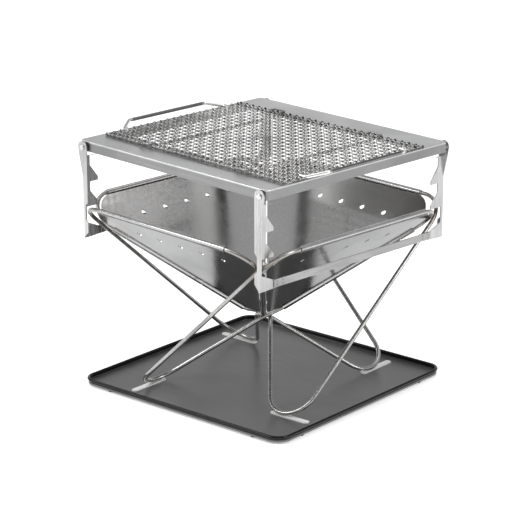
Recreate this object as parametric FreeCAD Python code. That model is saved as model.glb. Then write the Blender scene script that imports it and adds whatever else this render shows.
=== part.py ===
"""Folding fire pit: four hinged steel panels on rod legs, a lift-off grill bridge, a wire net and a tray.

Frame: +Z up, origin on the ground under the middle of the pit.  X is the short way between the two
swinging side frames of the bridge, Y the way between its long plain flanges.  Millimetres.
"""
import FreeCAD, Part
import math
import os

V = FreeCAD.Vector
Z_AXIS = V(0, 0, 1)
ORIGIN = V(0, 0, 0)

# ---------------------------------------------------------------- driving dimensions
# Tray
TRAY_SIDE = 434.0
TRAY_CORNER_R = 26.0
TRAY_TURN = 5.1          # degrees the tray stands turned from the pit
TRAY_SHEET = 1.5
TRAY_LIP = 6.5           # height of the rim bead's centre above the floor plate
TRAY_BEAD = 5.0          # diameter of the rolled rim bead
FOOT_HEIGHT = 3.0
FOOT_DIAMETER = 9.0
FOOT_FROM_CORNER = 62.0
STRIP_LENGTH = 78.0
STRIP_WIDTH = 11.0
STRIP_THICKNESS = 2.0
STRIP_PAST = 19.2        # strip middle beyond the foot that rests on it, along its side of the tray
STRIP_ASIDE = -2.0       # the same, across it

# Pit
PIT_HALF_WIDTH = 199.5   # hinge corners, from the middle
PIT_DEPTH = 179.0        # hinge corners above the apex
PANEL_TOP_RISE = 36.0    # rim above the line between two hinge corners, in the panel's plane
SHEET = 1.5
ROD_DIAMETER = 7.0
REST_DROP = 100.5        # apex above the resting surface
FOOT_LOOP_RADIUS = 45.0
PIN_JOG = 12.8           # sideways step that lets the four rods pass each other under the apex
JOG_START = 34.0
JOG_END = 10.0
OWN_SHOULDER_R = 42.5
FAR_SHOULDER_R = 47.0
RETURN_PASS = 336.0      # where the returning rod line crosses the next hinge line, from the apex
HEM_WALL = 1.4
HEM_HALF_LENGTH = 145.0
PANEL_FOOT = 34.0        # lower edge of the sheet, up the panel from the apex
HOLE_DIAMETER = 9.0
HOLE_COUNT = 5
HOLE_PITCH = 49.0
HOLE_UP = 250.0          # hole row, up the panel from the apex
KNUCKLE_LOW = (39.0, 119.0)
KNUCKLE_MID = (120.0, 266.0)
KNUCKLE_TOP = (267.0, 293.0)

# Grill bridge
BRIDGE_OVER_X = 17.5     # outer face beyond the hinge corners, across the two hinged sides
BRIDGE_OVER_Y = 8.5      # the same, across the two plain sides
BRIDGE_RISE = 128.95     # top face above the hinge corners
BRIDGE_SHEET = 1.5
SKIRT = 17.0
BRIDGE_CORNER_R = 8.0
END_FLANGE = 72.0        # top flange along the two plain sides
SIDE_FLANGE = 13.0       # top flange along the two hinged sides
RIVET_IN = 11.5          # rivet from the side's outer face
RIVET_DOWN = 11.0
RIVET_DIAMETER = 6.0
RIVET_HEAD = 10.0
WASHER_DIAMETER = 13.0
WASHER_THICKNESS = 3.0
LUG_RADIUS = 10.5
POST_IN = 11.6           # outer face of the post's inner leaf, from the bridge's side
POST_BOTTOM = -36.05     # from the hinge corners' height, as are the next levels
POST_LEAF = 10.5         # width of the leaf that faces front or back
POST_ROOT = 14.0         # width of the toothed leaf between teeth
POST_TIP = 31.0
TOP_TOOTH_DROP = 1.0     # top tooth below the crown
LOW_TOOTH = 16.45
MIDDLE_TOOTH_DROP = 1.25 # middle tooth below halfway between the other two
TOOTH_LIP = 6.0
CROWN_DROP = 9.0         # top of the toothed leaf below the bridge's skirt
NOTCH_DROP = 16.0
SEAT_ROOT = 5.5          # width of the toothed leaf in the notch that takes the pit corner
SEAT_FLOOR = -10.05
GUSSET_FLOOR = -21.05
RELIEF = 5.6             # depth of the front leaf's notch beside the pit corner's rod
RELIEF_SPAN = (-3.05, 20.95)
BAR_HEIGHT = 12.5
BAR_LAP = 26.0
WELD_DIAMETER = 3.0

# Net
NET_INSET = 3.0          # net inside the bridge's outer faces, across the hinged sides
NET_LAP = 21.0           # net over each plain flange
NET_SHIFT = (8.0, -10.0)
NET_WIRE = 2.0
NET_PITCH = 15.0
NET_BAR = 2.2            # width of a bar of the grid between two openings
EDGE_WIRE = 3.0
SUPPORT_WIRE = 5.0
SUPPORT_SPACING = 223.0
CLIP_WIDTH = 24.0
HANDLE_WIRE = 6.0
HANDLE_FOOT = 228.0      # between the handle's two welded feet
HANDLE_GRIP = 172.0
HANDLE_OUT = 19.5
HANDLE_UP = 6.0

# Clearances
RUNNING = 0.1            # radial, rod in a turning knuckle, rivet in a lug
FIXED = 0.2              # radial, rod in its own panel's knuckles and hem
SIDE_GAP = 0.3           # between faces of pieces that slide past each other
TOUCH = 0.05             # between pieces that rest on each other

# ---------------------------------------------------------------- worked-out sizes
ROD_R = ROD_DIAMETER / 2
FLOOR_TOP = FOOT_HEIGHT + TRAY_SHEET
STRIP_TOP = FLOOR_TOP + STRIP_THICKNESS
APEX = STRIP_TOP + TOUCH + REST_DROP
CORNER_Z = APEX + PIT_DEPTH
HINGE_RUN = math.hypot(PIT_HALF_WIDTH * math.sqrt(2), PIT_DEPTH)
HINGE_RISE = math.asin(PIT_DEPTH / HINGE_RUN)
SLANT = math.hypot(PIT_HALF_WIDTH, PIT_DEPTH)        # apex to the line between hinge corners
HALF_APEX = math.atan2(PIT_HALF_WIDTH, SLANT)        # half the panel's angle at the apex
SLOPE_SINE = PIT_DEPTH / SLANT
RIM_UP = SLANT + PANEL_TOP_RISE
KNUCKLE_R = ROD_R + FIXED + HEM_WALL
BRIDGE_X = 2 * (PIT_HALF_WIDTH + BRIDGE_OVER_X)
BRIDGE_Y = 2 * (PIT_HALF_WIDTH + BRIDGE_OVER_Y)
BRIDGE_TOP = CORNER_Z + BRIDGE_RISE
RIVET_Z = BRIDGE_TOP - RIVET_DOWN
RIVET_X = BRIDGE_X / 2 - RIVET_IN
LUG_IN_FACE = BRIDGE_Y / 2 + WASHER_THICKNESS + SIDE_GAP
POST_X = BRIDGE_X / 2 - POST_IN
POST_FOOT = CORNER_Z + POST_BOTTOM
POST_CROWN = BRIDGE_TOP - SKIRT - CROWN_DROP
TOP_TOOTH_Z = POST_CROWN - TOP_TOOTH_DROP
LOW_TOOTH_Z = CORNER_Z + LOW_TOOTH
MIDDLE_TOOTH_Z = (TOP_TOOTH_Z + LOW_TOOTH_Z) / 2 - MIDDLE_TOOTH_DROP
GUSSET_Z = CORNER_Z + GUSSET_FLOOR
NET_PLANE = BRIDGE_TOP + TOUCH
NET_X = BRIDGE_X - 2 * NET_INSET
NET_Y = BRIDGE_Y - 2 * END_FLANGE + 2 * NET_LAP

SIDES = {"front": -45.0, "right": 45.0, "back": 135.0, "left": 225.0}
OPEN_PIVOT_SIDE = "left"


# ---------------------------------------------------------------- helpers
def save(name, shape):
    """Write one piece as its own STEP file."""
    shape.exportStep(os.path.join("parts", name + ".step"))
    print(name, "solids", len(shape.Solids), "valid", shape.isValid(), "volume", round(shape.Volume, 1))


def placed(shape, turn=0.0, shift=ORIGIN):
    """A copy turned about the vertical and then moved."""
    copy = shape.copy()
    copy.rotate(ORIGIN, Z_AXIS, turn)
    copy.translate(shift)
    return copy


def mirrored(shape, normal):
    return shape.mirror(ORIGIN, normal)


def box(x, y, z):
    """A box from three (low, high) pairs."""
    return Part.makeBox(x[1] - x[0], y[1] - y[0], z[1] - z[0], V(x[0], y[0], z[0]))


def rounded_plate(half_x, half_y, radius, low, high):
    """An upright-sided plate with rounded corners, centred on the axis."""
    plate = box((-half_x, half_x), (-half_y, half_y), (low, high))
    upright = [e for e in plate.Edges if abs(e.tangentAt(e.FirstParameter).z) > 0.99]
    return plate.makeFillet(radius, upright)


def rounded_path(points, radii):
    """An open wire of straight runs whose inner corners are tangent arcs of the given radii."""
    edges = []
    start = points[0]
    for before, corner, after, radius in zip(points, points[1:], points[2:], radii):
        back = (before - corner).normalize()
        ahead = (after - corner).normalize()
        half = back.getAngle(ahead) / 2
        reach = radius / math.tan(half)
        middle = (back + ahead).normalize()
        arc_in = corner + back * reach
        arc_mid = corner + middle * (radius / math.sin(half) - radius)
        arc_out = corner + ahead * reach
        if (arc_in - start).Length > 1e-6:
            edges.append(Part.LineSegment(start, arc_in).toShape())
        edges.append(Part.Arc(arc_in, arc_mid, arc_out).toShape())
        start = arc_out
    edges.append(Part.LineSegment(start, points[-1]).toShape())
    return Part.Wire(edges)


def rod(points, radii, diameter):
    """A round rod along a rounded path."""
    path = rounded_path(points, radii)
    first = path.Edges[0]
    ahead = first.tangentAt(first.FirstParameter)
    circle = Part.Wire([Part.makeCircle(diameter / 2, points[0], ahead)])
    return path.makePipeShell([circle], True, False)


def cylinder(start, end, diameter):
    return Part.makeCylinder(diameter / 2, (end - start).Length, start, end - start)


def outline(points, low, high):
    """A flat plate in XY from an outline, between two heights."""
    wire = Part.makePolygon(points + [points[0]])
    return Part.Face(wire).extrude(V(0, 0, high - low)).translate(V(0, 0, low))


# ---------------------------------------------------------------- tray
def tray_bead_path():
    """Centre line of the rim bead as a rounded square, opened in the middle of one side."""
    half = TRAY_SIDE / 2 - TRAY_BEAD / 2
    level = FLOOR_TOP + TRAY_LIP
    corners = [V(half, 0, level), V(half, half, level), V(-half, half, level)]
    corners += [V(-half, -half, level), V(half, -half, level), V(half, 0, level)]
    return corners


def make_tray():
    """Floor plate with an upright lip that ends in a rolled bead."""
    wall = TRAY_SIDE / 2 - TRAY_BEAD / 2
    radius = TRAY_CORNER_R - TRAY_BEAD / 2
    thin = TRAY_SHEET / 2
    top = FLOOR_TOP + TRAY_LIP
    pan = rounded_plate(wall + thin, wall + thin, radius + thin, FOOT_HEIGHT, top)
    hollow = rounded_plate(wall - thin, wall - thin, radius - thin, FLOOR_TOP, top + 1)
    bead = rod(tray_bead_path(), [radius] * 4, TRAY_BEAD)
    return pan.cut(hollow).fuse(bead).removeSplitter()


def make_tray_feet():
    """Two small round feet under each side of the floor plate."""
    near_edge = TRAY_SIDE / 2 - TRAY_BEAD / 2 - FOOT_DIAMETER / 2 - TRAY_SHEET
    along = TRAY_SIDE / 2 - FOOT_FROM_CORNER
    feet = []
    for turn in (0, 90, 180, 270):
        for side in (-along, along):
            foot = Part.makeCylinder(FOOT_DIAMETER / 2, FOOT_HEIGHT, V(near_edge, side, 0))
            feet.append(placed(foot, turn))
    return Part.makeCompound(feet)


def make_rest_strips():
    """Four round-ended strips on the tray floor, one under each foot loop."""
    half = STRIP_LENGTH / 2 - STRIP_WIDTH / 2
    foot = foot_rest()
    strips = []
    for turn in (0, 90, 180, 270):
        bar = box((-half, half), (-STRIP_WIDTH / 2, STRIP_WIDTH / 2), (FLOOR_TOP, STRIP_TOP))
        for end in (-half, half):
            bar = bar.fuse(Part.makeCylinder(STRIP_WIDTH / 2, STRIP_THICKNESS, V(end, 0, FLOOR_TOP)))
        bar = placed(bar.removeSplitter(), 0, V(foot.x + STRIP_PAST, foot.y - STRIP_ASIDE, 0))
        strips.append(placed(bar, turn))
    return Part.makeCompound(strips)


# ---------------------------------------------------------------- pit panels and their rods
# A panel is drawn flat: P runs up its own hinge line from the apex, Q across towards the next
# hinge line, and the plate lies on both sides of the plane through the two hinge lines.
def flat(up, across):
    """Flat point from its distance up the panel's middle and towards its own hinge."""
    return V(up * math.cos(HALF_APEX) + across * math.sin(HALF_APEX),
             up * math.sin(HALF_APEX) - across * math.cos(HALF_APEX), 0)


def stand_up(shape, side):
    """Turn a flat-drawn piece into its place on the pit."""
    hinge = V(math.cos(HINGE_RISE), 0, math.sin(HINGE_RISE))
    next_hinge = V(0, -math.cos(HINGE_RISE), math.sin(HINGE_RISE))
    across = next_hinge - hinge * hinge.dot(next_hinge)
    across.normalize()
    normal = hinge.cross(across)
    matrix = FreeCAD.Matrix(hinge.x, across.x, normal.x, 0, hinge.y, across.y, normal.y, 0,
                            hinge.z, across.z, normal.z, 0, 0, 0, 0, 1)
    copy = shape.copy()
    copy.transformShape(matrix)
    return placed(copy, SIDES[side], V(0, 0, APEX))


def foot_centre():
    """Middle of the foot loop's bend: beside the stepped pin, at the height that rests on the strip."""
    across = PIN_JOG + FOOT_LOOP_RADIUS
    drop = (REST_DROP - ROD_R) / SLOPE_SINE
    up = -(drop - FOOT_LOOP_RADIUS + across * math.sin(HALF_APEX)) / math.cos(HALF_APEX)
    return V(up, across, 0)


def foot_rest():
    """Where the back panel's foot rests, seen from the tray's own directions."""
    bend = foot_centre()
    mark = Part.Vertex(bend - flat(1, 0) * FOOT_LOOP_RADIUS)
    spot = stand_up(mark, "back").Vertexes[0].Point
    return placed(Part.Vertex(spot), -TRAY_TURN).Vertexes[0].Point


def rod_corners():
    """Corners of the closed rod outline, from the middle of the hem all the way round."""
    own_corner = V(RIM_UP / math.cos(HALF_APEX), 0, 0)
    centre = foot_centre()
    crossing = V(math.cos(2 * HALF_APEX), math.sin(2 * HALF_APEX), 0) * RETURN_PASS
    reach = crossing - centre
    lean = math.atan2(reach.y, reach.x) - math.asin(FOOT_LOOP_RADIUS / reach.Length)
    heading = V(math.cos(lean), math.sin(lean), 0)
    touch = centre + V(-math.sin(lean), math.cos(lean), 0) * FOOT_LOOP_RADIUS
    foot = touch - heading * ((touch.y - PIN_JOG) / heading.y)
    rim_point = flat(RIM_UP, 0)
    up_panel = flat(1, 0)
    climb = (rim_point - crossing).dot(up_panel) / heading.dot(up_panel)
    far_corner = crossing + heading * climb
    return rim_point, own_corner, foot, far_corner


def make_leg_frame():
    """One rod: out of the hem, down the hinge line as its pin, round the foot loop and back up."""
    rim_point, own_corner, foot, far_corner = rod_corners()
    along_rim = flat(0, 1)
    split = TOUCH * 2
    points = [rim_point + along_rim * split, own_corner, V(JOG_START, 0, 0), V(JOG_END, PIN_JOG, 0),
              foot, far_corner, rim_point - along_rim * split]
    radii = [OWN_SHOULDER_R, 20.0, 20.0, FOOT_LOOP_RADIUS, FAR_SHOULDER_R]
    return rod(points, radii, ROD_DIAMETER)


def knuckle(span, direction):
    """Outside of a tube rolled round a hinge line."""
    return cylinder(direction * span[0], direction * span[1], 2 * KNUCKLE_R)


def make_panel(open_pivot=False):
    """Sheet with rounded shoulders, rolled hem, hinge knuckles and a row of air holes.

    With open_pivot the middle knuckle is an outside cradle that its pin can leave as the pit folds.
    """
    setback = KNUCKLE_R + SHEET
    half = SHEET / 2
    top = RIM_UP - ROD_R - FIXED
    run_in = setback / math.cos(HALF_APEX)
    corners = [flat(PANEL_FOOT, PANEL_FOOT * math.tan(HALF_APEX) - run_in),
               flat(top, top * math.tan(HALF_APEX) - run_in),
               flat(top, -top * math.tan(HALF_APEX) + run_in),
               flat(PANEL_FOOT, -PANEL_FOOT * math.tan(HALF_APEX) + run_in)]
    sheet = outline(corners, -half, half)
    shoulder = OWN_SHOULDER_R - ROD_R - FIXED
    rim_edges = []
    for edge in sheet.Edges:
        ends = [v.Point for v in edge.Vertexes]
        upright = abs(ends[0].z - ends[1].z) > SHEET * 0.9
        high = ends[0].dot(flat(1, 0)) > SLANT
        if upright and high:
            rim_edges.append(edge)
    sheet = sheet.makeFillet(shoulder, rim_edges)
    own = V(1, 0, 0)
    far = V(math.cos(2 * HALF_APEX), math.sin(2 * HALF_APEX), 0)
    inward = {"own": V(0, 1, 0), "far": V(math.sin(2 * HALF_APEX), -math.cos(2 * HALF_APEX), 0)}
    pieces = []
    for span, line, into in ((KNUCKLE_LOW, own, inward["own"]), (KNUCKLE_TOP, own, inward["own"]),
                             (KNUCKLE_MID, far, inward["far"])):
        pieces.append(knuckle(span, line))
        reach = setback + 1.0
        web = [line * span[0], line * span[1], line * span[1] + into * reach, line * span[0] + into * reach]
        pieces.append(outline(web, -half, half))
    hem_ends = [flat(RIM_UP, -HEM_HALF_LENGTH), flat(RIM_UP, HEM_HALF_LENGTH)]
    pieces.append(cylinder(hem_ends[0], hem_ends[1], 2 * KNUCKLE_R))
    web_foot = [flat(top - 1, HEM_HALF_LENGTH), flat(top - 1, -HEM_HALF_LENGTH)]
    pieces.append(outline(hem_ends + web_foot, -half, half))
    panel = sheet.fuse(pieces)
    own_bore = 2 * (ROD_R + FIXED)
    far_bore = 2 * (ROD_R + RUNNING)
    bores = [cylinder(own * (KNUCKLE_LOW[0] - 1), own * (KNUCKLE_TOP[1] + 1), own_bore),
             cylinder(far * (KNUCKLE_MID[0] - 1), far * (KNUCKLE_MID[1] + 1), far_bore),
             cylinder(hem_ends[0] - (hem_ends[1] - hem_ends[0]).normalize(),
                      hem_ends[1] + (hem_ends[1] - hem_ends[0]).normalize(), own_bore)]
    for index in range(HOLE_COUNT):
        across = (index - (HOLE_COUNT - 1) / 2) * HOLE_PITCH
        spot = flat(HOLE_UP, across)
        bores.append(Part.makeCylinder(HOLE_DIAMETER / 2, 4 * SHEET, spot - V(0, 0, 2 * SHEET)))
    if open_pivot:
        away = KNUCKLE_R + 1
        mouth = [far * (KNUCKLE_MID[0] - 1), far * (KNUCKLE_MID[1] + 1)]
        mouth += [mouth[1] - inward["far"] * away, mouth[0] - inward["far"] * away]
        bores.append(outline(mouth, -away, away))
        inside = [far * (KNUCKLE_MID[0] - 1), far * (KNUCKLE_MID[1] + 1)]
        inside += [inside[1] + inward["far"] * KNUCKLE_R, inside[0] + inward["far"] * KNUCKLE_R]
        bores.append(outline(inside, -away, -half))
    return panel.cut(bores).removeSplitter()


# ---------------------------------------------------------------- grill bridge
def make_top_frame():
    """Pressed frame: flat flanges round the grill opening and skirts turned down on four sides."""
    half_x, half_y = BRIDGE_X / 2, BRIDGE_Y / 2
    low = BRIDGE_TOP - SKIRT
    outer = rounded_plate(half_x, half_y, BRIDGE_CORNER_R, low, BRIDGE_TOP)
    inner = rounded_plate(half_x - BRIDGE_SHEET, half_y - BRIDGE_SHEET, BRIDGE_CORNER_R - BRIDGE_SHEET,
                          low - 1, BRIDGE_TOP - BRIDGE_SHEET)
    opening = rounded_plate(half_x - SIDE_FLANGE, half_y - END_FLANGE, BRIDGE_SHEET * 4,
                            low - 1, BRIDGE_TOP + 1)
    frame = outer.cut(inner).cut(opening)
    top_edges = [e for e in frame.Edges if e.BoundBox.ZMin > BRIDGE_TOP - 0.01
                 and e.BoundBox.XLength + e.BoundBox.YLength > 1
                 and max(abs(e.CenterOfMass.x) - half_x, abs(e.CenterOfMass.y) - half_y) > -BRIDGE_CORNER_R]
    frame = frame.makeFillet(BRIDGE_SHEET * 0.9, top_edges)
    holes = []
    for x in (-RIVET_X, RIVET_X):
        holes.append(cylinder(V(x, -half_y - 1, RIVET_Z), V(x, half_y + 1, RIVET_Z),
                              RIVET_DIAMETER + 2 * FIXED))
    return frame.cut(holes)


def make_rivet(x):
    """Rivet through skirt, washer and lug at the front, head outside and upset end inside."""
    face = -BRIDGE_Y / 2
    outside = -LUG_IN_FACE - BRIDGE_SHEET - SIDE_GAP
    shank = cylinder(V(x, face + BRIDGE_SHEET + TOUCH, RIVET_Z), V(x, outside, RIVET_Z), RIVET_DIAMETER)
    head_depth = 2.0
    head = cylinder(V(x, outside, RIVET_Z), V(x, outside - head_depth, RIVET_Z), RIVET_HEAD)
    rim = [e for e in head.Edges if abs(e.CenterOfMass.y - (outside - head_depth)) < 0.01]
    head = head.makeFillet(head_depth * 0.8, rim)
    upset = cylinder(V(x, face + BRIDGE_SHEET + TOUCH, RIVET_Z),
                     V(x, face + 2 * BRIDGE_SHEET, RIVET_Z), RIVET_HEAD * 0.7)
    return shank.fuse([head, upset]).removeSplitter()


def make_washer(x):
    low = -BRIDGE_Y / 2 - TOUCH
    ring = cylinder(V(x, low, RIVET_Z), V(x, low - WASHER_THICKNESS, RIVET_Z), WASHER_DIAMETER)
    return ring.cut(cylinder(V(x, low + 1, RIVET_Z), V(x, low - WASHER_THICKNESS - 1, RIVET_Z),
                             RIVET_DIAMETER + 2 * RUNNING))


def make_post():
    """Front right post: lug on the pivot, narrow front leaf and toothed inner leaf, bent from one sheet."""
    face = -LUG_IN_FACE - BRIDGE_SHEET
    edge = POST_X - POST_LEAF
    # front leaf, drawn in XZ
    relief = edge + RELIEF
    low, high = (CORNER_Z + level for level in RELIEF_SPAN)
    notch = [(edge, high + RELIEF), (relief, high), (relief, low), (edge, low - RELIEF)]
    front = [(edge, RIVET_Z - 6)] + notch
    front += [(edge, POST_FOOT + 12), (POST_X - 4, POST_FOOT + 5),
             (POST_X, POST_FOOT), (POST_X, RIVET_Z - 50), (RIVET_X + LUG_RADIUS - 2, RIVET_Z - 12),
             (RIVET_X + LUG_RADIUS, RIVET_Z)]
    front_points = [V(x, face, z) for x, z in front] + [V(edge, face, RIVET_Z)]
    leaf = Part.Face(Part.makePolygon(front_points + [front_points[0]])).extrude(V(0, BRIDGE_SHEET, 0))
    lug = cylinder(V(RIVET_X, face, RIVET_Z), V(RIVET_X, face + BRIDGE_SHEET, RIVET_Z), 2 * LUG_RADIUS)
    # toothed leaf, drawn in YZ from the outer corner inwards
    root, tip = face + POST_ROOT, face + POST_TIP
    levels = (TOP_TOOTH_Z, MIDDLE_TOOTH_Z, LOW_TOOTH_Z)
    teeth = [(face, POST_CROWN), (root, POST_CROWN), (tip, TOP_TOOTH_Z)]
    for level, following in zip(levels, levels[1:]):
        teeth += [(root, level), (root, level - NOTCH_DROP), (tip, following + TOOTH_LIP), (tip, following)]
    seat = face + SEAT_ROOT
    teeth += [(seat, levels[-1]), (seat, CORNER_Z + SEAT_FLOOR), (tip, GUSSET_Z)]
    lap = face + POST_TIP + BAR_LAP
    teeth += [(lap, GUSSET_Z), (lap, GUSSET_Z - BAR_HEIGHT), (face + 8, POST_FOOT), (face, POST_FOOT)]
    tooth_points = [V(POST_X, y, z) for y, z in teeth]
    inner = Part.Face(Part.makePolygon(tooth_points + [tooth_points[0]])).extrude(V(-BRIDGE_SHEET, 0, 0))
    post = leaf.fuse([lug, inner])
    hole = cylinder(V(RIVET_X, face - 1, RIVET_Z), V(RIVET_X, face + BRIDGE_SHEET + 1, RIVET_Z),
                    RIVET_DIAMETER + 2 * RUNNING)
    return post.cut(hole).removeSplitter()


def make_bottom_bar():
    """Strip that ties the two posts of the right side frame, lapped over their feet outside."""
    reach = LUG_IN_FACE + BRIDGE_SHEET - POST_TIP
    return box((POST_X + TOUCH, POST_X + TOUCH + BRIDGE_SHEET), (-reach, reach),
               (GUSSET_Z - BAR_HEIGHT, GUSSET_Z))


def make_spot_welds():
    """Four small spot-weld beads at each end of the right bottom bar."""
    reach = LUG_IN_FACE + BRIDGE_SHEET - POST_TIP
    face = POST_X + TOUCH + BRIDGE_SHEET
    welds = []
    for side in (-1, 1):
        for along in (BAR_LAP * 0.25, BAR_LAP * 0.75):
            for up in (BAR_HEIGHT * 0.28, BAR_HEIGHT * 0.72):
                base = V(face, side * (reach - along), GUSSET_Z - up)
                welds.append(Part.makeCone(WELD_DIAMETER / 2, WELD_DIAMETER / 4, 0.5, base, V(1, 0, 0)))
    return Part.makeCompound(welds)


# ---------------------------------------------------------------- net
def net_wires():
    """Flat grid of the woven wires, one opening between each pair."""
    half_x, half_y = NET_X / 2, NET_Y / 2
    low = NET_PLANE
    grid = box((-half_x, half_x), (-half_y, half_y), (low, low + NET_WIRE))
    count_x = int((NET_X - 2 * EDGE_WIRE) / NET_PITCH)
    count_y = int((NET_Y - 2 * EDGE_WIRE) / NET_PITCH)
    start_x = -count_x * NET_PITCH / 2
    start_y = -count_y * NET_PITCH / 2
    holes = []
    side = NET_PITCH - NET_BAR
    for i in range(count_x):
        for j in range(count_y):
            corner = V(start_x + i * NET_PITCH + NET_BAR / 2, start_y + j * NET_PITCH + NET_BAR / 2, low)
            square = Part.makePolygon([corner, corner + V(side, 0, 0), corner + V(side, side, 0),
                                       corner + V(0, side, 0), corner])
            holes.append(square)
    bottom = [f for f in grid.Faces if f.BoundBox.ZMax < low + 0.01][0]
    face = Part.Face([Part.Wire(bottom.OuterWire)] + holes)
    face.validate()
    solid = face.extrude(V(0, 0, NET_WIRE))
    return placed(solid, 0, V(NET_SHIFT[0], NET_SHIFT[1], 0))


def net_top():
    return NET_PLANE + NET_WIRE + TOUCH


def support_rod(side):
    """Straight rod under the net, between the bridge's two plain flanges."""
    x = NET_SHIFT[0] - 3.5 + side * SUPPORT_SPACING / 2
    under = NET_PLANE - SUPPORT_WIRE / 2 - TOUCH
    inside = BRIDGE_Y / 2 - END_FLANGE - SUPPORT_WIRE
    return rod([V(x, -inside, under), V(x, inside, under)], [], SUPPORT_WIRE)


def net_clip(x, side):
    """Staple over the net's edge, its legs down through the last row of openings."""
    edge = NET_SHIFT[1] + side * (NET_Y / 2 - 2)
    level = net_top() + HANDLE_WIRE / 4
    half = CLIP_WIDTH / 2
    back = edge - side * 14
    points = [V(x - half, back, level), V(x - half, edge, level),
              V(x + half, edge, level), V(x + half, back, level)]
    return rod(points, [5.0, 5.0], HANDLE_WIRE / 2)


def net_handle(side):
    """Bent wire handle welded on the net's edge, leaning up and outwards."""
    x = NET_SHIFT[0] + side * (NET_X / 2 - 4)
    y = NET_SHIFT[1]
    level = net_top() + HANDLE_WIRE / 2
    foot, grip = HANDLE_FOOT / 2, HANDLE_GRIP / 2
    points = [V(x - side * 12, y - foot, level), V(x, y - foot, level),
              V(x + side * HANDLE_OUT, y - grip, level + HANDLE_UP),
              V(x + side * HANDLE_OUT, y + grip, level + HANDLE_UP),
              V(x, y + foot, level), V(x - side * 12, y + foot, level)]
    return rod(points, [6.0, 8.0, 8.0, 6.0], HANDLE_WIRE)


# ---------------------------------------------------------------- the whole object
def main():
    os.makedirs("parts", exist_ok=True)
    save("base_tray", placed(make_tray(), TRAY_TURN))
    save("tray_feet", placed(make_tray_feet(), TRAY_TURN))
    save("rest_strips", placed(make_rest_strips(), TRAY_TURN))

    panel = make_panel()
    leg = make_leg_frame()
    cradle_panel = make_panel(open_pivot=True)
    for side in SIDES:
        save("panel_" + side, stand_up(cradle_panel if side == OPEN_PIVOT_SIDE else panel, side))
        save("leg_frame_" + side, stand_up(leg, side))

    save("bridge_top", make_top_frame())
    rivets = [make_rivet(x) for x in (-RIVET_X, RIVET_X)]
    washers = [make_washer(x) for x in (-RIVET_X, RIVET_X)]
    back = V(0, 1, 0)
    save("pivot_rivets", Part.makeCompound(rivets + [mirrored(r, back) for r in rivets]))
    save("pivot_washers", Part.makeCompound(washers + [mirrored(w, back) for w in washers]))

    post = make_post()
    bar = make_bottom_bar()
    welds = make_spot_welds()
    across = V(1, 0, 0)
    for side, flip in (("right", False), ("left", True)):
        for end, turn_back in (("front", False), ("back", True)):
            piece = mirrored(post, back) if turn_back else post
            piece = mirrored(piece, across) if flip else piece
            save("post_" + end + "_" + side, piece)
        save("bottom_bar_" + side, mirrored(bar, across) if flip else bar)
        save("spot_welds_" + side, mirrored(welds, across) if flip else welds)

    save("net_wires", net_wires())
    for name, side in (("left", -1), ("right", 1)):
        support = support_rod(side)
        x = support.BoundBox.Center.x
        save("net_support_" + name, support)
        save("net_clips_" + name, Part.makeCompound([net_clip(x, -1), net_clip(x, 1)]))
        save("net_handle_" + name, net_handle(side))


main()
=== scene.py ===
"""Looks for the folding fire pit: procedural steels, a woven wire net, studio floor, light and camera."""
import bpy
import math
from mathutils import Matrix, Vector


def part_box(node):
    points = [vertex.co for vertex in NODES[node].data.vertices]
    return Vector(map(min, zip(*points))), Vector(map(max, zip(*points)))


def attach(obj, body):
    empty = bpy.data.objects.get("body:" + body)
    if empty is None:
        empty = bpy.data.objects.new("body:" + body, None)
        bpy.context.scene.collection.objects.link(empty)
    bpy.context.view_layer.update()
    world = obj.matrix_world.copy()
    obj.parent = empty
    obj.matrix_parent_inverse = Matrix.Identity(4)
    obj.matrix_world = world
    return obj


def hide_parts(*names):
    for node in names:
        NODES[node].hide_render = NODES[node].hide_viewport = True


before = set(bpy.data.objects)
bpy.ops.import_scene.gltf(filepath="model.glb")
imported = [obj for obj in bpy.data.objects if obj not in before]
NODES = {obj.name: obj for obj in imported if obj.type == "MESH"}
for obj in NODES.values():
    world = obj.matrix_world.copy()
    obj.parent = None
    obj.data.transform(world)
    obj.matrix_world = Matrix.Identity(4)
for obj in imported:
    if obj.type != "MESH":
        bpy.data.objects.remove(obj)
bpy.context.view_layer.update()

UP = Vector((0, 0, 1))
USUAL = (0.3, 0.7)                   # range that holds nearly all of a noise's values
CORNER = (0.1995, 0.1995, 0.287)     # where two panels and their rods meet, in metres


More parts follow.
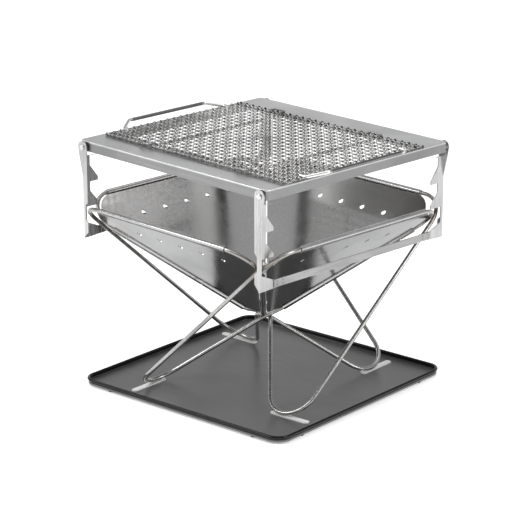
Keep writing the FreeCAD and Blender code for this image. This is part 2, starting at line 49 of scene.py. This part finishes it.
# ------------------------------------------------------------------ material helpers
class Graph:
    """A Principled material whose colour, roughness and bump come from nodes."""

    def __init__(self, name, metallic, anisotropic=0.0):
        self.material = bpy.data.materials.new(name)
        self.material.use_nodes = True
        self.tree = self.material.node_tree
        self.shader = self.tree.nodes["Principled BSDF"]
        self.shader.inputs["Metallic"].default_value = metallic
        self.shader.inputs["Anisotropic"].default_value = anisotropic
        self.place = self.node("ShaderNodeTexCoord").outputs["Object"]

    def node(self, kind, **settings):
        made = self.tree.nodes.new(kind)
        for key, value in settings.items():
            setattr(made, key, value)
        return made

    def link(self, out, into):
        self.tree.links.new(out, into)

    def noise(self, per_metre, detail, rough, distortion=0.0):
        """Noise over the piece's own coordinates; per_metre is one rate, or one for each axis."""
        mapping = self.node("ShaderNodeMapping")
        rates = per_metre if isinstance(per_metre, tuple) else (per_metre,) * 3
        mapping.inputs["Scale"].default_value = rates
        self.link(self.place, mapping.inputs["Vector"])
        made = self.node("ShaderNodeTexNoise")
        made.inputs["Scale"].default_value = 1.0
        made.inputs["Detail"].default_value = detail
        made.inputs["Roughness"].default_value = rough
        made.inputs["Distortion"].default_value = distortion
        self.link(mapping.outputs["Vector"], made.inputs["Vector"])
        return made.outputs["Fac"]

    def spread(self, source, span, onto):
        """Maps one range of values onto another and holds them at its ends."""
        made = self.node("ShaderNodeMapRange")
        for key, value in zip(("From Min", "From Max", "To Min", "To Max"), span + onto):
            made.inputs[key].default_value = value
        self.link(source, made.inputs["Value"])
        return made.outputs["Result"]

    def math(self, operation, first, second=0.0):
        made = self.node("ShaderNodeMath", operation=operation)
        for index, value in enumerate((first, second)):
            if isinstance(value, (int, float)):
                made.inputs[index].default_value = value
            else:
                self.link(value, made.inputs[index])
        return made.outputs["Value"]

    def mix(self, factor, first, second):
        made = self.node("ShaderNodeMix", data_type="RGBA")
        self.link(factor, made.inputs["Factor"])
        for key, value in (("A", first), ("B", second)):
            socket = [s for s in made.inputs if s.name == key and s.type == "RGBA"][0]
            if isinstance(value, tuple):
                socket.default_value = value + (1.0,)
            else:
                self.link(value, socket)
        return [s for s in made.outputs if s.type == "RGBA"][0]

    def blend(self, source, first, second):
        """Colour that runs from the first to the second across a source's values from 0 to 1."""
        made = self.node("ShaderNodeValToRGB")
        for element, colour in zip(made.color_ramp.elements, (first, second)):
            element.color = colour + (1.0,)
        self.link(source, made.inputs["Fac"])
        return made.outputs["Color"]

    def axes(self, source):
        made = self.node("ShaderNodeSeparateXYZ")
        self.link(source, made.inputs["Vector"])
        return made.outputs

    def near_corner(self, inner, outer):
        """1 within the inner distance of any hinge corner, falling to 0 at the outer distance."""
        split = self.axes(self.place)
        joined = self.node("ShaderNodeCombineXYZ")
        for key in "XY":
            self.link(self.math("ABSOLUTE", split[key]), joined.inputs[key])
        self.link(split["Z"], joined.inputs["Z"])
        gap = self.node("ShaderNodeVectorMath", operation="DISTANCE")
        gap.inputs[1].default_value = CORNER
        self.link(joined.outputs["Vector"], gap.inputs[0])
        return self.spread(gap.outputs["Value"], (inner, outer), (1.0, 0.0))

    def bump(self, source, strength, depth, under=None):
        made = self.node("ShaderNodeBump")
        made.inputs["Strength"].default_value = strength
        made.inputs["Distance"].default_value = depth
        self.link(source, made.inputs["Height"])
        if under is not None:
            self.link(under, made.inputs["Normal"])
        return made.outputs["Normal"]

    def finish(self, colour, roughness, normal):
        self.link(colour, self.shader.inputs["Base Color"])
        self.link(roughness, self.shader.inputs["Roughness"])
        self.link(normal, self.shader.inputs["Normal"])
        return self.material


def steel(name, dark, light, rough, grain, grime=0.12, tint=None, wave=0.0, painted_skirt_shade=None,
          painted_top_light=None, metallic=1.0):
    """Bare steel: streaks along the grain, broad dull patches and fine scratches.

    rough is the range of roughness, and grain gives the streaks' rates along the three axes.
    grime is how much darker the dull patches are than the dark streaks.
    tint is (colour, inner, outer) for the heat colour round the hinge corners.
    wave is the strength of the sheet's slow unevenness.
    painted_skirt_shade is (height, shade_strength): painted shade that darkens the folded-down faces under
    that height towards black.
    painted_top_light is the lighter colour painted on the faces that look upwards, as painted light; the
    faces that look downwards keep the darker tone, as painted shade.
    """
    g = Graph(name, metallic, anisotropic=0.25)
    streaks = g.noise(grain, 4.0, 0.65)
    broad = g.noise(9.0, 2.0, 0.5, 0.6)
    specks = g.noise(900.0, 2.0, 0.7)
    tone = g.blend(g.spread(streaks, USUAL, (0.0, 1.0)), dark, light)
    dull = tuple(v * (1.0 - grime) for v in dark)
    colour = g.mix(g.spread(broad, (0.42, 0.72), (0.0, 0.7)), tone, dull)
    # Painted light: faces that look upwards get a lighter, streaked colour, and faces that look downwards
    # keep the darker tone as painted shade.
    if painted_top_light:
        facing = g.axes(g.node("ShaderNodeNewGeometry").outputs["True Normal"])["Z"]
        painted_top_colour = g.mix(streaks, painted_top_light, tuple(v * 1.35 for v in painted_top_light))
        colour = g.mix(g.spread(facing, (-0.1, 0.1), (0.0, 1.0)), colour, painted_top_colour)
    # Painted shade: faces under the given height, the bridge's folded-down skirts, are darkened towards
    # black.
    if painted_skirt_shade:
        height, shade_strength = painted_skirt_shade
        skirt_shade_mask = g.spread(g.axes(g.place)["Z"], (height - 0.0012, height + 0.0004), (shade_strength, 0.0))
        colour = g.mix(skirt_shade_mask, colour, (0.0, 0.0, 0.0))
    if tint:
        heat, inner, outer = tint
        uneven = g.spread(broad, (0.3, 0.6), (0.55, 1.0))
        colour = g.mix(g.math("MULTIPLY", g.near_corner(inner, outer), uneven), colour, heat)
    worn = g.math("ADD", g.spread(streaks, USUAL, rough), g.spread(broad, (0.4, 0.7), (0.0, 0.07)))
    normal = g.bump(streaks, 0.06, 0.0003)
    normal = g.bump(specks, 0.008, 0.0001, normal)
    if wave:
        normal = g.bump(g.noise(6.0, 1.0, 0.4), wave, 0.004, normal)
    return g.finish(colour, worn, normal)


def handle_finish():
    """Polished wire, bright at the welded ends, with a darker grip between the bends."""
    grip_half, fade = 0.082, 0.004
    low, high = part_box("net_wires")
    g = Graph("handle_wire", 1.0)
    streaks = g.noise((420.0, 60.0, 420.0), 3.0, 0.6)
    bright = g.blend(g.spread(streaks, USUAL, (0.0, 1.0)), (0.66, 0.655, 0.65), (0.90, 0.895, 0.89))
    from_middle = g.math("SUBTRACT", g.axes(g.place)["Y"], (low.y + high.y) / 2)
    along = g.math("ABSOLUTE", from_middle)
    grip = g.spread(along, (grip_half - fade, grip_half + fade), (0.85, 0.0))
    colour = g.mix(grip, bright, (0.09, 0.088, 0.085))
    return g.finish(colour, g.spread(streaks, USUAL, (0.10, 0.20)), g.bump(streaks, 0.05, 0.0002))


def tray_finish():
    """Satin charcoal sheet with a glossier, darker rolled rim."""
    rim_from, rim_full = 0.0050, 0.0070          # heights between which the rim's finish begins
    g = Graph("tray_sheet", 0.55, anisotropic=0.1)
    brushed = g.noise((10.0, 260.0, 40.0), 4.0, 0.6)
    broad = g.noise(5.0, 2.0, 0.5)
    specks = g.noise(1200.0, 2.0, 0.7)
    sheet = g.blend(g.spread(brushed, USUAL, (0.0, 1.0)), (0.140, 0.140, 0.143), (0.200, 0.200, 0.204))
    sheet = g.mix(g.spread(broad, (0.4, 0.7), (0.0, 0.5)), sheet, (0.110, 0.110, 0.113))
    rim = g.spread(g.axes(g.place)["Z"], (rim_from, rim_full), (0.0, 1.0))
    colour = g.mix(rim, sheet, (0.004, 0.004, 0.0045))
    satin = g.spread(brushed, USUAL, (0.30, 0.40))
    roughness = g.math("SUBTRACT", satin, g.math("MULTIPLY", rim, 0.14))
    normal = g.bump(specks, 0.12, 0.00015)
    return g.finish(colour, roughness, g.bump(brushed, 0.05, 0.0003, normal))


def foot_finish():
    """Dull black rubber with a fine grain."""
    g = Graph("tray_foot_rubber", 0.0)
    grain = g.noise(900.0, 3.0, 0.6)
    colour = g.blend(g.spread(grain, USUAL, (0.0, 1.0)), (0.012, 0.012, 0.012), (0.04, 0.04, 0.04))
    return g.finish(colour, g.spread(grain, USUAL, (0.55, 0.8)), g.bump(grain, 0.4, 0.0003))


# ------------------------------------------------------------------ materials and the CAD nodes they cover
# The panel sheet carries painted light on its upward faces and painted shade on its downward faces.
panel_sheet = steel("panel_sheet", (0.11, 0.112, 0.11), (0.23, 0.232, 0.23), (0.07, 0.15),
                    (230.0, 230.0, 4.0), grime=0.18, wave=0.30, painted_top_light=(0.50, 0.495, 0.49),
                    tint=((0.24, 0.215, 0.20), 0.0, 0.08))
rod_steel = steel("drawn_rod", (0.28, 0.275, 0.265), (0.52, 0.512, 0.50), (0.13, 0.24),
                  (420.0, 420.0, 60.0), grime=0.2, tint=((0.17, 0.145, 0.125), 0.005, 0.055))
# The bridge's folded-down skirts get painted shade under 0.413 m.
bridge_steel = steel("bridge_sheet", (0.52, 0.522, 0.52), (0.66, 0.662, 0.66), (0.26, 0.36),
                     (14.0, 420.0, 420.0), painted_skirt_shade=(0.4130, 0.58))
post_steel = steel("side_frame_sheet", (0.38, 0.38, 0.376), (0.56, 0.56, 0.555), (0.22, 0.32),
                   (420.0, 420.0, 14.0))
bar_steel = steel("bottom_bar_sheet", (0.27, 0.27, 0.267), (0.41, 0.41, 0.406), (0.20, 0.32),
                  (420.0, 14.0, 420.0))
wire_steel = steel("crimped_wire", (0.20, 0.198, 0.193), (0.56, 0.556, 0.55), (0.16, 0.30), 420.0, grime=0.45)
edge_steel = steel("edge_wire", (0.06, 0.06, 0.06), (0.16, 0.16, 0.158), (0.30, 0.42), 420.0)
clip_steel = steel("clip_wire", (0.16, 0.155, 0.15), (0.42, 0.415, 0.41), (0.20, 0.32), 500.0, grime=0.35)
# Painted reflection: the steel strips get a near-white, mostly non-metal colour that stands in for their
# bright sheen.
strip_painted_sheen = steel("strip_sheet", (0.72, 0.715, 0.71), (0.92, 0.915, 0.91), (0.24, 0.34), 300.0,
                    grime=0.04, metallic=0.1)
rivet_steel = steel("rivet_steel", (0.50, 0.49, 0.48), (0.78, 0.77, 0.76), (0.14, 0.24), 300.0)
weld_steel = steel("weld_marks", (0.16, 0.145, 0.13), (0.30, 0.285, 0.27), (0.35, 0.5), 700.0)

FINISHES = {"panel_": panel_sheet, "leg_frame_": rod_steel, "post_": post_steel, "bottom_bar_": bar_steel,
            "spot_welds_": weld_steel, "bridge_top": bridge_steel, "pivot_": rivet_steel,
            "base_tray": tray_finish(), "tray_feet": foot_finish(), "rest_strips": strip_painted_sheen,
            "net_support": wire_steel, "net_clips": clip_steel, "net_handle": handle_finish(),
            "net_wires": wire_steel}
for name, node in NODES.items():
    for prefix, material in FINISHES.items():
        if name.startswith(prefix):
            node.data.materials.clear()
            node.data.materials.append(material)


# ------------------------------------------------------------------ woven net
WIRE_R = 0.0013
PITCH = 0.015
LIFT = 0.0011        # the crimp's height above and below the net's middle
WAVES = 3            # half-waves of the crimp between two crossings
POINTS = 12          # points on a wire between two crossings
KNOT_R = 0.0021      # a wire's end wound round the edge wire
KNOT_POINTS = 14
EDGE_IN = 0.0022     # edge wire inside the net's outline
EDGE_R = 0.0010
EDGE_BEND = 0.006
CLIP_R = 0.0015
CLIP_LEG = 0.014     # from the net's edge to a clip's leg
CLIP_BEND = 0.0025
CLIP_RISE = 0.0015   # clip's wire above the weave

net_low, net_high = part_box("net_wires")
NET_LEVEL = net_low.z + WIRE_R + LIFT + 0.0001


class Tubes:
    """Round tubes gathered into one mesh that moves with the net."""

    def __init__(self):
        self.verts, self.faces = [], []

    def add(self, path, across, radius, sides=6, closed=False):
        """A tube along a path, as a ring or with capped ends; 'across' is carried round its bends."""
        start, total = len(self.verts), len(path)
        for index, point in enumerate(path):
            before = path[index - 1] if closed else path[max(index - 1, 0)]
            after = path[(index + 1) % total] if closed else path[min(index + 1, total - 1)]
            ahead = (after - before).normalized()
            across = (across - ahead * across.dot(ahead)).normalized()
            up = across.cross(ahead)
            for k in range(sides):
                turn = 2 * math.pi * k / sides
                self.verts.append(point + (across * math.cos(turn) + up * math.sin(turn)) * radius)
        for index in range(total if closed else total - 1):
            a, b = start + index * sides, start + (index + 1) % total * sides
            for k in range(sides):
                n = (k + 1) % sides
                self.faces.append((a + k, a + n, b + n, b + k))
        if not closed:
            last = start + (total - 1) * sides
            self.faces.append(tuple(start + k for k in reversed(range(sides))))
            self.faces.append(tuple(last + k for k in range(sides)))

    def piece(self, name, material):
        mesh = bpy.data.meshes.new(name)
        mesh.from_pydata([tuple(v) for v in self.verts], [], self.faces)
        mesh.materials.append(material)
        for polygon in mesh.polygons:
            polygon.use_smooth = True
        made = bpy.data.objects.new(name, mesh)
        bpy.context.scene.collection.objects.link(made)
        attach(made, "net")
        return made


def crimped(count, spare, phase):
    """Places and heights along one wire, from one edge wire to the other."""
    places = [k * PITCH / POINTS for k in range(count * POINTS + 1)]
    wave = [(a, LIFT * math.cos(math.pi * (WAVES * a / PITCH + phase))) for a in places]
    return [(-spare, 0.0)] + wave + [(count * PITCH + spare, 0.0)]


def add_knot(ends, centre, out, across):
    """A wire's end wound round the edge wire."""
    turns = [math.radians(-150 + 24 * k) for k in range(KNOT_POINTS)]
    ring = [centre + (out * math.cos(t) + UP * math.sin(t)) * KNOT_R for t in turns]
    ends.add(ring, across, WIRE_R * 0.8)


def woven_net():
    """Crimped wires both ways, over and under each other, and their ends on the back and left edges."""
    width, depth = net_high.x - net_low.x - 2 * EDGE_IN, net_high.y - net_low.y - 2 * EDGE_IN
    count_x, count_y = int(width / PITCH), int(depth / PITCH)
    spare_x, spare_y = (width - count_x * PITCH) / 2, (depth - count_y * PITCH) / 2
    first_x, first_y = net_low.x + EDGE_IN + spare_x, net_low.y + EDGE_IN + spare_y
    left, back = net_low.x + EDGE_IN, net_high.y - EDGE_IN
    wires, back_ends, left_ends = Tubes(), Tubes(), Tubes()
    for j in range(count_y + 1):
        y = first_y + j * PITCH
        path = [Vector((first_x + a, y, NET_LEVEL + h)) for a, h in crimped(count_x, spare_x, j)]
        wires.add(path, Vector((0, 1, 0)), WIRE_R)
        add_knot(left_ends, Vector((left, y, NET_LEVEL)), Vector((-1, 0, 0)), Vector((0, 1, 0)))
    for i in range(count_x + 1):
        x = first_x + i * PITCH
        path = [Vector((x, first_y + a, NET_LEVEL - h)) for a, h in crimped(count_y, spare_y, i)]
        wires.add(path, Vector((-1, 0, 0)), WIRE_R)
        add_knot(back_ends, Vector((x, back, NET_LEVEL)), Vector((0, 1, 0)), Vector((1, 0, 0)))
    return (wires.piece("net_weave", wire_steel), back_ends.piece("net_wire_ends_back", edge_steel),
            left_ends.piece("net_wire_ends_left", wire_steel))


def net_border():
    """Edge wire that binds the weave on its four sides, with rounded corners."""
    inset, steps = EDGE_IN + EDGE_BEND, 6
    left, right = net_low.x + inset, net_high.x - inset
    front, back = net_low.y + inset, net_high.y - inset
    ring = []
    for x, y, start in ((right, front, -90), (right, back, 0), (left, back, 90), (left, front, 180)):
        for k in range(steps + 1):
            turn = math.radians(start + 90 * k / steps)
            ring.append(Vector((x + EDGE_BEND * math.cos(turn), y + EDGE_BEND * math.sin(turn), NET_LEVEL)))
    border = Tubes()
    border.add(ring, Vector((0, -1, 0)), EDGE_R, sides=8, closed=True)
    return border.piece("net_edge_wire", edge_steel)


def bent(corners, radius, steps=6):
    """Points along straight runs between corners, with each inner corner rounded."""
    path = [corners[0]]
    for before, corner, after in zip(corners, corners[1:], corners[2:]):
        enter = corner + (before - corner).normalized() * radius
        leave = corner + (after - corner).normalized() * radius
        for k in range(steps + 1):
            t = k / steps
            path.append(enter.lerp(corner, t).lerp(corner.lerp(leave, t), t))
    return path + [corners[-1]]


def clip_loops(node):
    """The node's two clips: wire staples over the net's front and back edges, legs down beside the rod."""
    low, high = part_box(node)
    foot = low.z + CLIP_R
    level = net_low.z + 2 * (WIRE_R + LIFT) + CLIP_RISE
    left, right = low.x + CLIP_R, high.x - CLIP_R
    loops = Tubes()
    for edge, inwards in ((net_low.y + CLIP_R, 1), (net_high.y - CLIP_R, -1)):
        leg = edge + inwards * CLIP_LEG
        corners = [(left, leg, foot), (left, leg, level), (left, edge, level),
                   (right, edge, level), (right, leg, level), (right, leg, foot)]
        loops.add(bent([Vector(c) for c in corners], CLIP_BEND), Vector((1, 0, 0)), CLIP_R, sides=10)
    made = loops.piece(node + "_loops", clip_steel)
    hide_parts(node)
    return made


weave, back_ends, left_ends = woven_net()
border = net_border()
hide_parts("net_wires")
for node in ("net_clips_left", "net_clips_right"):
    clip_loops(node)


# ------------------------------------------------------------------ floor, light and camera
FLOOR_REACH = 40.0
FLOOR_LEVEL = -0.0002
LIGHT_AIM = Vector((0, 0, 0.2))
SOFTBOXES = (("key_light", (-1.6, -2.2, 2.6), (1.8, 1.8), 70.0),
             ("fill_light", (2.8, 0.6, 1.8), (1.2, 2.2), 34.0),
             ("top_light", (0.2, 0.4, 3.2), (3.4, 3.4), 40.0))
SKY_TONES = ((0.0, 1.0), (0.10, 1.15), (0.25, 0.8), (0.5, 0.35), (1.0, 0.6))

CAMERA_AZIMUTH = math.radians(45.27)
CAMERA_ELEVATION = math.radians(17.97)
CAMERA_AIM = Vector((0, 0, 0.1817))
CAMERA_DISTANCE = 3.844
CAMERA_LENS = 158.5
CAMERA_SHIFT = (-0.0019, 0.0263)


def floor():
    """A matt white floor that gives off a little light, so that it stays pale under the object."""
    g = Graph("studio_floor", 0.0)
    grain = g.noise(3.0, 2.0, 0.5)
    colour = g.blend(grain, (0.93, 0.93, 0.935), (0.95, 0.95, 0.955))
    paint = g.finish(colour, g.spread(grain, USUAL, (0.75, 0.8)), g.bump(grain, 0.01, 0.0001))
    g.shader.inputs["Specular IOR Level"].default_value = 0.1
    g.shader.inputs["Emission Color"].default_value = (1.0, 1.0, 1.0, 1.0)
    g.shader.inputs["Emission Strength"].default_value = 0.32
    signs = ((-1, -1), (1, -1), (1, 1), (-1, 1))
    corners = [(FLOOR_REACH * x, FLOOR_REACH * y, FLOOR_LEVEL) for x, y in signs]
    mesh = bpy.data.meshes.new("studio_floor")
    mesh.from_pydata(corners, [], [(0, 1, 2, 3)])
    mesh.materials.append(paint)
    ground = bpy.data.objects.new("studio_floor", mesh)
    bpy.context.scene.collection.objects.link(ground)


def softbox(name, place, size, power):
    data = bpy.data.lights.new(name, "AREA")
    data.shape = "RECTANGLE"
    data.size, data.size_y = size
    data.energy = power
    lamp = bpy.data.objects.new(name, data)
    lamp.location = place
    lamp.rotation_mode = "QUATERNION"
    lamp.rotation_quaternion = (LIGHT_AIM - Vector(place)).to_track_quat("-Z", "Y")
    lamp.visible_camera = False
    bpy.context.scene.collection.objects.link(lamp)


def sky():
    """Even studio surroundings: bright round the horizon, dimmer higher up."""
    world = bpy.data.worlds.new("studio_sky")
    bpy.context.scene.world = world
    world.use_nodes = True
    tree = world.node_tree
    place = tree.nodes.new("ShaderNodeTexCoord")
    split = tree.nodes.new("ShaderNodeSeparateXYZ")
    ramp = tree.nodes.new("ShaderNodeValToRGB")
    elements = ramp.color_ramp.elements
    while len(elements) < len(SKY_TONES):
        elements.new(0.5)
    for element, (position, tone) in zip(elements, SKY_TONES):
        element.position = position
        element.color = (tone, tone, tone * 1.01, 1.0)
    tree.links.new(place.outputs["Generated"], split.inputs["Vector"])
    tree.links.new(split.outputs["Z"], ramp.inputs["Fac"])
    back = tree.nodes["Background"]
    tree.links.new(ramp.outputs["Color"], back.inputs["Color"])
    back.inputs["Strength"].default_value = 1.0


def studio_camera():
    """The camera at the main view's angle, far back with a long lens."""
    level = math.cos(CAMERA_ELEVATION)
    away = Vector((math.sin(CAMERA_AZIMUTH) * level, -math.cos(CAMERA_AZIMUTH) * level,
                   math.sin(CAMERA_ELEVATION)))
    data = bpy.data.cameras.new("photo_view")
    data.sensor_width = 36.0
    data.lens = CAMERA_LENS
    data.shift_x, data.shift_y = CAMERA_SHIFT
    data.clip_start = 0.05
    data.clip_end = 100.0
    camera = bpy.data.objects.new("photo_view", data)
    camera.location = CAMERA_AIM + away * CAMERA_DISTANCE
    camera.rotation_mode = "QUATERNION"
    camera.rotation_quaternion = (-away).to_track_quat("-Z", "Y")
    bpy.context.scene.collection.objects.link(camera)
    return camera


floor()
sky()
for lamp in SOFTBOXES:
    softbox(*lamp)
bpy.context.scene.view_settings.view_transform = "Standard"
bpy.context.scene.camera = studio_camera()
